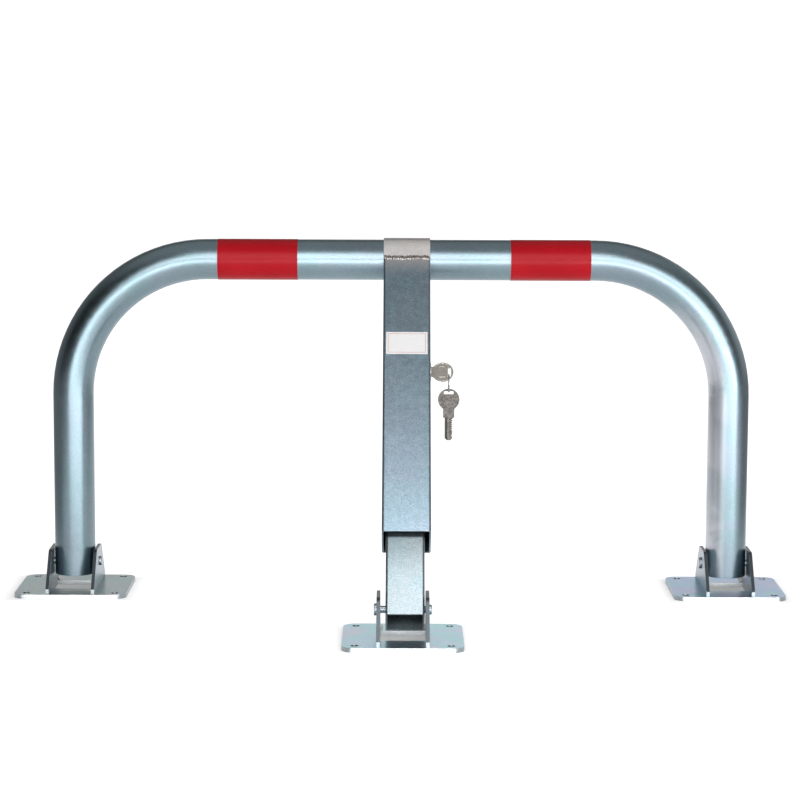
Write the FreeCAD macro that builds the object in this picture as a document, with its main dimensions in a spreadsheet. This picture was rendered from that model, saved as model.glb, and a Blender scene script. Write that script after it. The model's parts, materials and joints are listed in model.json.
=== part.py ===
"""Folding parking lock: a hinged hoop barrier held up by a telescoping, lockable strut.

Frame: millimetres, +Z up, floor at z = 0, origin midway between the hoop's feet and the strut's foot.
The hoop stands in the plane y = +reach / 2 and folds backwards, away from the strut's foot.
"""

import FreeCAD, Part
import math
import os
import re

import Sketcher

SIZES = {
    # hoop
    "tube_diameter": 48.3,
    "tube_wall": 2.5,
    "leg_span": 786,
    "bend_radius": 162,
    "bar_height": 400,
    "leg_tail": 14.5,
    "band_length": 95,
    "band_centre": 174,
    "band_offset": 3.1,
    "band_thickness": 0.3,
    # where the three feet stand
    "reach": 283,
    "strut_offset": 6.3,
    "post_offset": 5,
    "foot_offset": 2.7,
    # feet
    "plate_width": 133.5,
    "plate_depth": 128,
    "plate_thickness": 5,
    "plate_corner": 14,
    "anchor_hole": 8.5,
    "anchor_margin_x": 14.25,
    "anchor_margin_y": 13,
    "leg_side_gap": 0.85,
    "swing_gap": 1.33,
    "ear_thickness": 4,
    "ear_margin": 6,
    "ear_top_length": 48,
    "ear_above_pin": 17.3,
    "ear_edge": 5,
    "ear_corner": 10,
    "window_depth": 50,
    "weld_leg": 3,
    "weld_length": 22,
    # hinge rivets
    "rivet_diameter": 8,
    "rivet_head_rim": 2.75,
    "rivet_head_length": 3,
    "rivet_tail_rim": 1.5,
    "rivet_bevel": 0.8,
    "running_gap": 0.05,
    "plate_gap": 0.1,
    # strut sleeve and its strap round the bar
    "sleeve_wall": 1.9,
    "sleeve_corner": 3,
    "bare_post": 82.2,
    "strap_gap": 0.3,
    "strap_seam": 14.5,
    "bead_radius": 1.8,
    "bead_margin": 2,
    "label_margin": 3.5,
    "label_height": 30,
    "label_thickness": 0.3,
    "label_distance": 134,
    # inner post
    "post_width": 43,
    "post_side_gap": 4.1,
    "post_setback": 3.1,
    "fold_gap": 0.5,
    "post_wall": 2,
    "post_corner": 3,
    "post_top_gap": 42.2,
    "post_below_pin": 16,
    # lock
    "lock_distance": 157,
    "barrel_wall": 2,
    "barrel_end_wall": 1.9,
    "flange_rim": 1.5,
    "flange_thickness": 0.8,
    "nut_rim": 3,
    "nut_thickness": 2.6,
    "plug_wall": 0.6,
    "cam_tip_gap": 1.5,
    "cam_width": 8,
    "cam_thickness": 2.5,
    "cam_gap": 0.4,
    "cam_screw_diameter": 4,
    "cam_screw_head": 7,
    "screw_head_length": 2.4,
    "slot_margin": 1.9,
    # keys and ring
    "key_thickness": 2.3,
    "head_width": 25,
    "head_length": 26,
    "neck_width": 13,
    "neck_length": 7.9,
    "blade_width": 9.2,
    "blade_length": 26.4,
    "key_slot_length": 11.5,
    "key_slot_width": 3.7,
    "key_slot_margin": 2.7,
    "ring_radius": 10.2,
    "wire_diameter": 1.6,
    "ring_slip": 3.2,
    "key_gap": 0.15,
}
# sizes that follow from the ones above, so that the pieces still fit when one of those changes
FORMULAS = {
    "post_shift": "(post_offset - foot_offset)",
    "ear_gap": "(max(tube_diameter; post_width + 2 * post_shift) + 2 * leg_side_gap)",
    "pin_height": "(plate_thickness + sqrt((tube_diameter / 2) ^ 2 + leg_tail ^ 2) + swing_gap)",
    "leg_end_height": "(pin_height - leg_tail)",
    "anchor_span_x": "(plate_width - 2 * anchor_margin_x)",
    "anchor_span_y": "(plate_depth - 2 * anchor_margin_y)",
    "ear_length": "(plate_depth - 2 * ear_margin)",
    "ear_top": "(pin_height + ear_above_pin)",
    "rivet_head_diameter": "(rivet_diameter + 2 * rivet_head_rim)",
    "rivet_tail_diameter": "(rivet_diameter + 2 * rivet_tail_rim)",
    "strap_inside": "(tube_diameter / 2 + strap_gap)",
    "sleeve_depth": "(2 * (strap_inside + sleeve_wall))",
    "sleeve_width": "(post_width + 2 * (post_side_gap + sleeve_wall))",
    "post_depth": "(2 * (strap_inside - post_setback - fold_gap))",
    "drop": "(bar_height - pin_height)",
    "strut_span": "sqrt(reach ^ 2 + drop ^ 2 - post_setback ^ 2)",
    "sleeve_length": "(strut_span - bare_post)",
    "post_above_pin": "(strut_span - post_top_gap)",
    "lock_height": "(strut_span - lock_distance)",
    "label_width": "(sleeve_width - 2 * label_margin)",
    "plug_diameter": "(neck_width + 2 * (key_gap + plug_wall))",
    "barrel_diameter": "(plug_diameter + 2 * barrel_wall)",
    "barrel_length": "(neck_length + blade_length + barrel_end_wall)",
    "flange_diameter": "(barrel_diameter + 2 * flange_rim)",
    "nut_width": "(barrel_diameter + 2 * nut_rim)",
    "cam_length": "(strap_inside - cam_tip_gap)",
    "half_slot": "(barrel_diameter / 2 + post_setback + slot_margin)",
}
SHEET = "Sizes"
BITTING = (0.6, 1.6, 0.9, 1.9, 1.1, 0.7)
ABOUT_X = FreeCAD.Vector(1, 0, 0)
ABOUT_Y = FreeCAD.Vector(0, 1, 0)
UPRIGHT = FreeCAD.Rotation()
ALONG_X = FreeCAD.Rotation(ABOUT_Y, 90)
ALONG_Y = FreeCAD.Rotation(ABOUT_X, -90)

doc = FreeCAD.newDocument("FoldingParkingLock")
sheet = doc.addObject("Spreadsheet::Sheet", SHEET)
for row, (alias, number) in enumerate(SIZES.items(), start=1):
    sheet.set("A%d" % row, alias)
    sheet.set("B%d" % row, str(number))
    sheet.setAlias("B%d" % row, alias)
doc.recompute()

sub_parts = []


def bound(formula):
    """A formula with each alias given its sheet's name and each named formula written out."""
    def written_out(match):
        word = match.group()
        if word in FORMULAS:
            return bound(FORMULAS[word])
        return "%s.%s" % (SHEET, word) if word in SIZES else word
    return re.sub(r"[a-z_]+", written_out, formula)


def value(formula):
    return float(sheet.evalExpression(bound(formula)))


def point(formulas):
    return FreeCAD.Vector(*[value(formula) for formula in formulas])


def bind(feature, **formulas):
    for name, formula in formulas.items():
        feature.setExpression(name, bound(formula))


def bind_place(feature, place, rotation=UPRIGHT):
    """Put a feature at a place given as three formulas."""
    feature.Placement = FreeCAD.Placement(point(place), rotation)
    for axis, formula in zip("xyz", place):
        feature.setExpression("Placement.Base." + axis, bound(formula))


# ---- bodies, sketches and features -------------------------------------------------------------

def new_body(node, placement=None):
    body = doc.addObject("PartDesign::Body", node)
    body.Label = node
    if placement:
        body.Placement = placement
    sub_parts.append(body)
    return body


def keep(node, shape_object, placement=None):
    """Take a Part object as a finished sub-part."""
    shape_object.Label = node
    if placement:
        shape_object.Placement = placement
    sub_parts.append(shape_object)
    return shape_object


def sketch_on(body, name, role, offset="0"):
    plane = next(item for item in body.Origin.OriginFeatures if item.Role == role)
    sketch = body.newObject("Sketcher::SketchObject", name)
    sketch.AttachmentSupport = [(plane, "")]
    sketch.MapMode = "FlatFace"
    sketch.AttachmentOffset = FreeCAD.Placement(FreeCAD.Vector(0, 0, value(offset)), UPRIGHT)
    sketch.setExpression("AttachmentOffset.Base.z", bound(offset))
    return sketch


def pin_down(sketch, geometry, vertex, place):
    """Hold one point of a sketch at two formulas."""
    for kind, formula in zip(("DistanceX", "DistanceY"), place):
        held = Sketcher.Constraint(kind, -1, 1, geometry, vertex, value(formula))
        index = sketch.addConstraint(held)
        sketch.setExpression("Constraints[%d]" % index, bound(formula))


def draw_outline(sketch, corners):
    """A closed outline of straight lines through corners given as pairs of formulas."""
    first = sketch.GeometryCount
    places = [FreeCAD.Vector(value(across), value(up), 0) for across, up in corners]
    count = len(places)
    for index in range(count):
        sketch.addGeometry(Part.LineSegment(places[index], places[(index + 1) % count]), False)
    for index in range(count):
        following = first + (index + 1) % count
        sketch.addConstraint(Sketcher.Constraint("Coincident", first + index, 2, following, 1))
    for index in range(count):
        pin_down(sketch, first + index, 1, corners[index])


def draw_circle(sketch, centre, diameter):
    place = FreeCAD.Vector(value(centre[0]), value(centre[1]), 0)
    circle = Part.Circle(place, FreeCAD.Vector(0, 0, 1), value(diameter) / 2)
    index = sketch.addGeometry(circle, False)
    pin_down(sketch, index, 3, centre)
    constraint = sketch.addConstraint(Sketcher.Constraint("Diameter", index, value(diameter)))
    sketch.setExpression("Constraints[%d]" % constraint, bound(diameter))


def draw_box(sketch, low, high):
    draw_outline(sketch, [low, (high[0], low[1]), high, (low[0], high[1])])


def pad(body, sketch, length, midplane=False):
    feature = body.newObject("PartDesign::Pad", "Pad")
    feature.Profile = sketch
    feature.Midplane = midplane
    bind(feature, Length=length)
    doc.recompute()
    return feature


def pocket(body, sketch, midplane=True):
    """Cut right through, and make sure that something was cut."""
    before = body.Shape.Volume
    feature = body.newObject("PartDesign::Pocket", "Pocket")
    feature.Profile = sketch
    feature.Type = "ThroughAll"
    feature.Midplane = midplane
    doc.recompute()
    if body.Shape.Volume > before - 1e-6:
        raise ValueError("%s: a pocket cut nothing" % body.Label)
    return feature


def box_feature(body, kind, low, sizes):
    feature = body.newObject("PartDesign::%sBox" % kind, kind + "Box")
    bind(feature, Length=sizes[0], Width=sizes[1], Height=sizes[2])
    bind_place(feature, low)
    doc.recompute()
    return feature


def cylinder_feature(body, kind, base, radius, length, rotation=UPRIGHT):
    feature = body.newObject("PartDesign::%sCylinder" % kind, kind + "Cylinder")
    bind(feature, Radius=radius, Height=length)
    bind_place(feature, base, rotation)
    doc.recompute()
    return feature


def edges_where(shape, test):
    """Names of the straight edges whose middle point and direction pass the test."""
    names = []
    for index, edge in enumerate(shape.Edges, start=1):
        if len(edge.Vertexes) != 2 or not isinstance(edge.Curve, Part.Line):
            continue
        middle = edge.CenterOfMass
        if test(middle, edge.Curve.Direction):
            names.append("Edge%d" % index)
    return names


def fillet(body, radius, test):
    base = body.Tip
    names = edges_where(base.Shape, test)
    feature = body.newObject("PartDesign::Fillet", "Fillet")
    feature.Base = (base, names)
    bind(feature, Radius=radius)
    doc.recompute()
    return feature


def is_upright(middle, direction):
    return abs(direction.z) > 0.99


def part_cylinder(name, base, radius, length, rotation=UPRIGHT):
    feature = doc.addObject("Part::Cylinder", name)
    bind(feature, Radius=radius, Height=length)
    bind_place(feature, base, rotation)
    return feature


def cut(node, base, tool):
    feature = doc.addObject("Part::Cut", node)
    feature.Base = base
    feature.Tool = tool
    doc.recompute()
    return feature


# ---- frames: where the feet, the strut and the lock stand --------------------------------------

REACH_HALF = "reach / 2"
LEG_X = "leg_span / 2"
# the post stands a little behind the sleeve's middle, so that it stays inside the sleeve as both fold
TILT = math.degrees(math.atan2(value("reach"), value("drop"))
                    + math.atan2(value("post_setback"), value("strut_span")))
STRUT_TURN = FreeCAD.Rotation(ABOUT_X, -TILT)

FEET = {
    "left": ("-leg_span / 2", REACH_HALF),
    "right": ("leg_span / 2", REACH_HALF),
    "centre": ("foot_offset", "-reach / 2"),
}


def at_foot(foot):
    across, back = FEET[foot]
    return FreeCAD.Placement(point((across, back, "0")), UPRIGHT)


# the strut's frame: origin on the bar's axis, +Z up along the strut, -Y out of its front face
AT_STRUT = FreeCAD.Placement(point(("strut_offset", REACH_HALF, "bar_height")), STRUT_TURN)
# the post's frame: the same directions, origin on its hinge pin
AT_POST = FreeCAD.Placement(point(("post_offset", "-reach / 2", "pin_height")), STRUT_TURN)
# the lock's frame: origin on the sleeve's right face, +X out of the keyway
LOCK_FACE = FreeCAD.Placement(point(("sleeve_width / 2", "0", "-lock_distance")), UPRIGHT)
AT_LOCK = AT_STRUT.multiply(LOCK_FACE)


# ---- feet --------------------------------------------------------------------------------------

def make_plate(foot):
    body = new_body(foot + "_base_plate", at_foot(foot))
    outline = sketch_on(body, "PlateOutline", "XY_Plane")
    low = ("-plate_width / 2", "-plate_depth / 2")
    high = ("plate_width / 2", "plate_depth / 2")
    draw_box(outline, low, high)
    pad(body, outline, "plate_thickness")
    fillet(body, "plate_corner", is_upright)
    openings = sketch_on(body, "PlateOpenings", "XY_Plane")
    draw_box(openings, ("-ear_gap / 2", "-window_depth / 2"), ("ear_gap / 2", "window_depth / 2"))
    for across in ("-anchor_span_x / 2", "anchor_span_x / 2"):
        for back in ("-anchor_span_y / 2", "anchor_span_y / 2"):
            draw_circle(openings, (across, back), "anchor_hole")
    pocket(body, openings)


def make_ear(foot, side, start):
    body = new_body("%s_foot_%s_ear" % (foot, side), at_foot(foot))
    outline = sketch_on(body, "EarOutline", "YZ_Plane", start)
    shoulder = "plate_thickness + ear_edge"
    top = "ear_top"
    draw_outline(outline, [
        ("-ear_length / 2", "plate_thickness"),
        ("ear_length / 2", "plate_thickness"),
        ("ear_length / 2", shoulder),
        ("ear_top_length / 2", top),
        ("-ear_top_length / 2", top),
        ("-ear_length / 2", shoulder),
    ])
    pad(body, outline, "ear_thickness")
    top_height = value(top) - 0.01
    fillet(body, "ear_corner", lambda middle, direction: abs(direction.x) > 0.99 and middle.z > top_height)
    hole = sketch_on(body, "RivetHole", "YZ_Plane")
    draw_circle(hole, ("0", "pin_height"), "rivet_diameter + 2 * plate_gap")
    pocket(body, hole)


def make_rivet(foot):
    """A rivet with a low head at the left and a closed end at the right, turned about its axis."""
    body = new_body(foot + "_hinge_rivet", at_foot(foot))
    profile = sketch_on(body, "RivetProfile", "XZ_Plane")
    face = "(ear_gap / 2 + ear_thickness)"
    axis = "pin_height"
    head = axis + " + rivet_head_diameter / 2"
    tail = axis + " + rivet_tail_diameter / 2"
    shank = axis + " + rivet_diameter / 2"
    end = face + " + rivet_head_length"
    draw_outline(profile, [
        ("-%s - rivet_head_length" % face, axis),
        ("-%s - rivet_head_length" % face, head + " - rivet_bevel"),
        ("-%s - rivet_head_length + rivet_bevel" % face, head),
        ("-" + face, head),
        ("-" + face, shank),
        (face, shank),
        (face, tail),
        (end + " - rivet_bevel", tail),
        (end, tail + " - rivet_bevel"),
        (end, axis),
    ])
    line = sketch_on(body, "RivetAxis", "XZ_Plane")
    line.addGeometry(Part.LineSegment(point(("-" + face, axis, "0")), point((face, axis, "0"))), False)
    pin_down(line, 0, 1, ("-" + face, axis))
    pin_down(line, 0, 2, (face, axis))
    turned = body.newObject("PartDesign::Revolution", "Turned")
    turned.Profile = profile
    turned.ReferenceAxis = (line, ["Edge1"])
    turned.Angle = 360
    doc.recompute()


def make_foot_welds(foot):
    """Two fillet welds on the rear strip of the plate, one along the inside of each ear."""
    beads = []
    start = value("window_depth / 2 + weld_leg")
    floor = value("plate_thickness")
    leg = value("weld_leg")
    for side in (-1, 1):
        inside = side * value("ear_gap / 2")
        corners = [(inside, floor), (inside - side * leg, floor), (inside, floor + leg)]
        places = [FreeCAD.Vector(across, start, up) for across, up in corners]
        face = Part.Face(Part.makePolygon(places + places[:1]))
        beads.append(face.extrude(FreeCAD.Vector(0, value("weld_length"), 0)))
    feature = doc.addObject("Part::Feature", foot + "_foot_welds")
    feature.Shape = Part.makeCompound(beads)
    keep(foot + "_foot_welds", feature, at_foot(foot))


# ---- hoop --------------------------------------------------------------------------------------

def make_run(name, radius):
    """The hoop's path as one rod of the given radius: two legs, two bends and the bar."""
    bend_height = "bar_height - bend_radius"
    bend_x = "(leg_span / 2 - bend_radius)"
    straights = [
        (("-" + LEG_X, REACH_HALF, "leg_end_height"), bend_height + " - leg_end_height", UPRIGHT),
        ((LEG_X, REACH_HALF, "leg_end_height"), bend_height + " - leg_end_height", UPRIGHT),
        (("-" + bend_x, REACH_HALF, "bar_height"), "2 * " + bend_x, ALONG_X),
    ]
    pieces = []
    for base, length, rotation in straights:
        pieces.append(part_cylinder(name + "Rod", base, radius, length, rotation))
    right_bend = FreeCAD.Rotation(ABOUT_X, 90)
    left_bend = FreeCAD.Rotation(ABOUT_Y, -90).multiply(right_bend)
    for sign, rotation in (("", right_bend), ("-", left_bend)):
        bend = doc.addObject("Part::Torus", name + "Bend")
        bend.Angle3 = 90
        bind(bend, Radius1="bend_radius", Radius2=radius)
        bind_place(bend, (sign + bend_x, REACH_HALF, bend_height), rotation)
        pieces.append(bend)
    run = doc.addObject("Part::MultiFuse", name)
    run.Shapes = pieces
    doc.recompute()
    return run


def make_bow_tube():
    outside = make_run("TubeOutside", "tube_diameter / 2")
    inside = make_run("TubeInside", "tube_diameter / 2 - tube_wall")
    hollow = cut("HollowTube", outside, inside)
    reach = "leg_span + 2 * tube_diameter"
    hole = part_cylinder("RivetHoles", ("-(%s) / 2" % reach, REACH_HALF, "pin_height"),
                         "rivet_diameter / 2 + running_gap", reach, ALONG_X)
    keep("bow_tube", cut("bow_tube", hollow, hole))


def make_band(side, sign):
    start = "band_offset %s band_centre - band_length / 2" % sign
    inner_radius = "tube_diameter / 2"
    outer = part_cylinder("BandOuter", (start, REACH_HALF, "bar_height"),
                          inner_radius + " + band_thickness", "band_length", ALONG_X)
    inner = part_cylinder("BandInner", (start, REACH_HALF, "bar_height"), inner_radius, "band_length", ALONG_X)
    node = side + "_reflective_band"
    keep(node, cut(node, outer, inner))


# ---- strut sleeve ------------------------------------------------------------------------------

def make_strut_sleeve():
    """A square tube, saddled round the bar at its top, with a round hole for the lock."""
    body = new_body("strut_sleeve", AT_STRUT)
    length = "sleeve_length - strap_seam"
    low = ("-sleeve_width / 2", "-sleeve_depth / 2", "-sleeve_length")
    box_feature(body, "Additive", low, ("sleeve_width", "sleeve_depth", length))
    fillet(body, "sleeve_corner", is_upright)
    inner_low = ("-sleeve_width / 2 + sleeve_wall", "-sleeve_depth / 2 + sleeve_wall", "-sleeve_length")
    inner = ("sleeve_width - 2 * sleeve_wall", "sleeve_depth - 2 * sleeve_wall", length)
    box_feature(body, "Subtractive", inner_low, inner)
    cylinder_feature(body, "Subtractive", ("-sleeve_width / 2", "0", "0"), "strap_inside",
                     "sleeve_width", ALONG_X)
    cylinder_feature(body, "Subtractive", ("0", "0", "-lock_distance"), "barrel_diameter / 2 + plate_gap",
                     "sleeve_width", ALONG_X)


def make_bow_strap():
    """A bent flat strap: half a ring over the bar, with two straight ends down to the sleeve."""
    body = new_body("bow_strap", AT_STRUT)
    cylinder_feature(body, "Additive", ("-sleeve_width / 2", "0", "0"), "sleeve_depth / 2",
                     "sleeve_width", ALONG_X)
    box_feature(body, "Additive", ("-sleeve_width / 2", "-sleeve_depth / 2", "-strap_seam"),
                ("sleeve_width", "sleeve_depth", "strap_seam"))
    cylinder_feature(body, "Subtractive", ("-sleeve_width / 2", "0", "0"), "strap_inside",
                     "sleeve_width", ALONG_X)
    box_feature(body, "Subtractive", ("-sleeve_width / 2", "-strap_inside", "-sleeve_depth"),
                ("sleeve_width", "2 * strap_inside", "sleeve_depth"))
    box_feature(body, "Subtractive", ("-sleeve_width / 2", "-sleeve_depth / 2", "-sleeve_depth"),
                ("sleeve_width", "sleeve_depth", "sleeve_depth - strap_seam"))


def make_strap_weld(side, sign):
    """A half-round bead across the seam between strap and sleeve."""
    bead = part_cylinder("Bead", ("-sleeve_width / 2 + bead_margin", "%ssleeve_depth / 2" % sign, "-strap_seam"),
                         "bead_radius", "sleeve_width - 2 * bead_margin", ALONG_X)
    wall = doc.addObject("Part::Box", "BeadWall")
    bind(wall, Length="sleeve_width", Width="sleeve_depth", Height="2 * strap_seam")
    bind_place(wall, ("-sleeve_width / 2", "-sleeve_depth / 2", "-2 * strap_seam"))
    node = "strap_weld_" + side
    keep(node, cut(node, bead, wall), AT_STRUT)


def make_label():
    body = new_body("label", AT_STRUT)
    low = ("-label_width / 2", "-sleeve_depth / 2 - label_thickness", "-label_distance - label_height / 2")
    box_feature(body, "Additive", low, ("label_width", "label_thickness", "label_height"))
    fillet(body, "1.5 * label_thickness", lambda middle, direction: abs(direction.y) > 0.99)


# ---- inner post --------------------------------------------------------------------------------

def make_inner_post():
    """A square tube with open ends, slotted where the lock's barrel and its cam reach into it."""
    body = new_body("inner_post", AT_POST)
    length = "post_above_pin + post_below_pin"
    low = ("-post_width / 2", "-post_depth / 2", "-post_below_pin")
    box_feature(body, "Additive", low, ("post_width", "post_depth", length))
    fillet(body, "post_corner", is_upright)
    inner_low = ("-post_width / 2 + post_wall", "-post_depth / 2 + post_wall", "-post_below_pin")
    inner = ("post_width - 2 * post_wall", "post_depth - 2 * post_wall", length)
    box_feature(body, "Subtractive", inner_low, inner)
    cylinder_feature(body, "Subtractive", ("-post_width / 2", "0", "0"), "rivet_diameter / 2 + running_gap",
                     "post_width", ALONG_X)
    box_feature(body, "Subtractive", ("post_width / 2 - 2 * post_wall", "-half_slot", "lock_height - half_slot"),
                ("3 * post_wall", "2 * half_slot", "post_above_pin"))
    cam_face = "strut_offset - post_offset + sleeve_width / 2 - barrel_length - cam_thickness"
    box_feature(body, "Subtractive", (cam_face + " - 3 * cam_gap", "-post_depth / 2 - post_wall",
                                      "lock_height - cam_width / 2 - 2 * cam_gap"),
                ("cam_thickness + 6 * cam_gap", "3 * post_wall", "cam_length + cam_width / 2"))


# ---- lock --------------------------------------------------------------------------------------

def make_lock_housing():
    body = new_body("lock_housing", AT_LOCK)
    cylinder_feature(body, "Additive", ("-barrel_length", "0", "0"), "barrel_diameter / 2",
                     "barrel_length + flange_thickness", ALONG_X)
    cylinder_feature(body, "Additive", ("0", "0", "0"), "flange_diameter / 2", "flange_thickness", ALONG_X)
    cylinder_feature(body, "Subtractive", ("-barrel_length", "0", "0"), "plug_diameter / 2 + running_gap",
                     "barrel_length + flange_thickness", ALONG_X)


def make_lock_nut():
    body = new_body("lock_nut", AT_LOCK)
    face = sketch_on(body, "NutOutline", "YZ_Plane", "-sleeve_wall - nut_thickness")
    corner = "nut_width / sqrt(3)"
    half = "nut_width / 2"
    draw_outline(face, [
        (corner, "0"),
        (corner + " / 2", half),
        ("-%s / 2" % corner, half),
        ("-" + corner, "0"),
        ("-%s / 2" % corner, "-" + half),
        (corner + " / 2", "-" + half),
    ])
    pad(body, face, "nut_thickness")
    bore = sketch_on(body, "NutBore", "YZ_Plane")
    draw_circle(bore, ("0", "0"), "barrel_diameter + 2 * plate_gap")
    pocket(body, bore)


def make_lock_plug():
    """The turning core, with a keyway that takes the key's blade and its neck."""
    body = new_body("lock_plug", AT_LOCK)
    cylinder_feature(body, "Additive", ("-barrel_length - cam_gap", "0", "0"), "plug_diameter / 2",
                     "barrel_length + cam_gap + flange_thickness", ALONG_X)
    depth = "(neck_length + key_gap)"
    box_feature(body, "Subtractive", ("flange_thickness - %s" % depth, "-key_thickness / 2 - key_gap",
                                      "-neck_width / 2 - key_gap"),
                (depth, "key_thickness + 2 * key_gap", "neck_width + 2 * key_gap"))
    depth = "(neck_length + blade_length + key_gap)"
    box_feature(body, "Subtractive", ("flange_thickness - %s" % depth, "-key_thickness / 2 - key_gap",
                                      "-blade_width / 2 - key_gap"),
                (depth, "key_thickness + 2 * key_gap", "blade_width + 2 * key_gap"))


def make_lock_cam():
    """A flat lever on the core's inner end; it points up the strut when the lock is open."""
    body = new_body("lock_cam", AT_LOCK)
    back = "-barrel_length - cam_gap - cam_thickness"
    box_feature(body, "Additive", (back, "-cam_width / 2", "-cam_width / 2"),
                ("cam_thickness", "cam_width", "cam_length + cam_width / 2"))
    fillet(body, "cam_width / 4", lambda middle, direction: abs(direction.x) > 0.99)
    cylinder_feature(body, "Subtractive", (back, "0", "0"), "cam_screw_diameter / 2", "cam_thickness", ALONG_X)


def make_cam_screw():
    body = new_body("cam_screw", AT_LOCK)
    back = "-barrel_length - cam_gap - cam_thickness"
    cylinder_feature(body, "Additive", (back, "0", "0"), "cam_screw_diameter / 2", "cam_thickness", ALONG_X)
    cylinder_feature(body, "Additive", (back + " - screw_head_length", "0", "0"), "cam_screw_head / 2",
                     "screw_head_length", ALONG_X)
    box_feature(body, "Subtractive", (back + " - screw_head_length", "-cam_screw_head / 2", "-cam_gap"),
                ("screw_head_length / 2", "cam_screw_head", "2 * cam_gap"))


# ---- keys --------------------------------------------------------------------------------------

def make_key(node, placement):
    """A flat key, its shoulder at the origin, its head along +X and its blade along -X."""
    body = new_body(node, placement)
    back = "-key_thickness / 2"
    cylinder_feature(body, "Additive", ("head_length - head_width / 2", "key_thickness / 2", "0"),
                     "head_width / 2", "key_thickness", FreeCAD.Rotation(ABOUT_X, 90))
    box_feature(body, "Additive", ("-neck_length", back, "-neck_width / 2"),
                ("neck_length + head_length / 8", "key_thickness", "neck_width"))
    blade = sketch_on(body, "BladeOutline", "XZ_Plane", back)
    tip = "-neck_length - blade_length"
    steps = len(BITTING)
    corners = [("-neck_length", "-blade_width / 2"), ("-neck_length", "blade_width / 2")]
    for index, depth in enumerate(BITTING):
        place = "-neck_length - blade_length * %d / %d" % (2 * index + 1, 2 * steps + 1)
        following = "-neck_length - blade_length * %d / %d" % (2 * index + 2, 2 * steps + 1)
        corners.append((place, "blade_width / 2"))
        corners.append((following, "blade_width / 2 - %s" % depth))
    corners += [(tip, "blade_width / 4"), (tip, "-blade_width / 4")]
    corners.append((tip + " + blade_width / 4", "-blade_width / 2"))
    draw_outline(blade, corners)
    pad(body, blade, "key_thickness")
    slot_low = ("head_length - key_slot_margin - key_slot_width", "-key_thickness", "-key_slot_length / 2")
    box_feature(body, "Subtractive", slot_low, ("key_slot_width", "2 * key_thickness", "key_slot_length"))
    slot_middle = value("head_length - key_slot_margin - key_slot_width / 2")
    reach = value("key_slot_width")
    fillet(body, "key_slot_width / 3", lambda middle, direction: abs(direction.y) > 0.99
           and abs(middle.x - slot_middle) < reach and abs(middle.z) > value("key_slot_length") / 2 - 0.01
           and abs(middle.z) < value("key_slot_length") / 2 + 0.01)


def ring_frame():
    """Where the ring's centre hangs: straight below its point of contact in the key's slot."""
    slot_start = "flange_thickness + head_length - key_slot_margin - key_slot_width"
    across = value(slot_start + " + wire_diameter / 2 + 2 * key_gap")
    contact = AT_LOCK.multVec(FreeCAD.Vector(across, 0, -value("ring_slip")))
    return contact, contact - FreeCAD.Vector(0, 0, value("ring_radius"))


def make_key_ring():
    contact, centre = ring_frame()
    ring = doc.addObject("Part::Torus", "key_ring")
    bind(ring, Radius1="ring_radius", Radius2="wire_diameter / 2")
    keep("key_ring", ring, FreeCAD.Placement(centre, ALONG_X))


def hanging_key_placement():
    """The spare key hangs by its slot from the lowest point of the ring, blade down, bitting outwards."""
    contact, centre = ring_frame()
    hang = value("head_length - key_slot_margin - wire_diameter / 2 - key_gap")
    shoulder = centre - FreeCAD.Vector(0, 0, value("ring_radius") + hang)
    return FreeCAD.Placement(shoulder, FreeCAD.Rotation(ABOUT_Y, -90).multiply(FreeCAD.Rotation(ABOUT_X, 180)))


# ---- assembly ----------------------------------------------------------------------------------

for foot_name in FEET:
    make_plate(foot_name)
    make_ear(foot_name, "left", "-ear_gap / 2 - ear_thickness")
    make_ear(foot_name, "right", "ear_gap / 2")
    make_rivet(foot_name)
    make_foot_welds(foot_name)
make_bow_tube()
make_band("left", "-")
make_band("right", "+")
make_strut_sleeve()
make_bow_strap()
make_strap_weld("front", "-")
make_strap_weld("rear", "")
make_label()
make_inner_post()
make_lock_housing()
make_lock_nut()
make_lock_plug()
make_lock_cam()
make_cam_screw()
KEY_IN_LOCK = FreeCAD.Placement(point(("flange_thickness", "0", "0")), UPRIGHT)
make_key("inserted_key", AT_LOCK.multiply(KEY_IN_LOCK))
make_key_ring()
make_key("spare_key", hanging_key_placement())

doc.recompute()
for item in doc.Objects:
    if "Invalid" in item.State or "Error" in item.State:
        raise ValueError("%s of %s did not recompute" % (item.Name, [group.Label for group in item.InList]))
for sub_part in sub_parts:
    if sub_part.Shape.isNull() or not sub_part.Shape.isValid() or not sub_part.Shape.Solids:
        raise ValueError("%s has no valid solid" % sub_part.Label)

os.makedirs("parts", exist_ok=True)
for sub_part in sub_parts:
    sub_part.Shape.exportStep("parts/%s.step" % sub_part.Label)

contact_point, ring_centre = ring_frame()
print("strut tilt %.4f degrees" % TILT)
print("lock centre", AT_LOCK.Base)
print("ring contact", contact_point)
print("ring centre", ring_centre)
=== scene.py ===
import json
import math
import random

import bmesh
import bpy
from mathutils import Matrix, Vector


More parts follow.
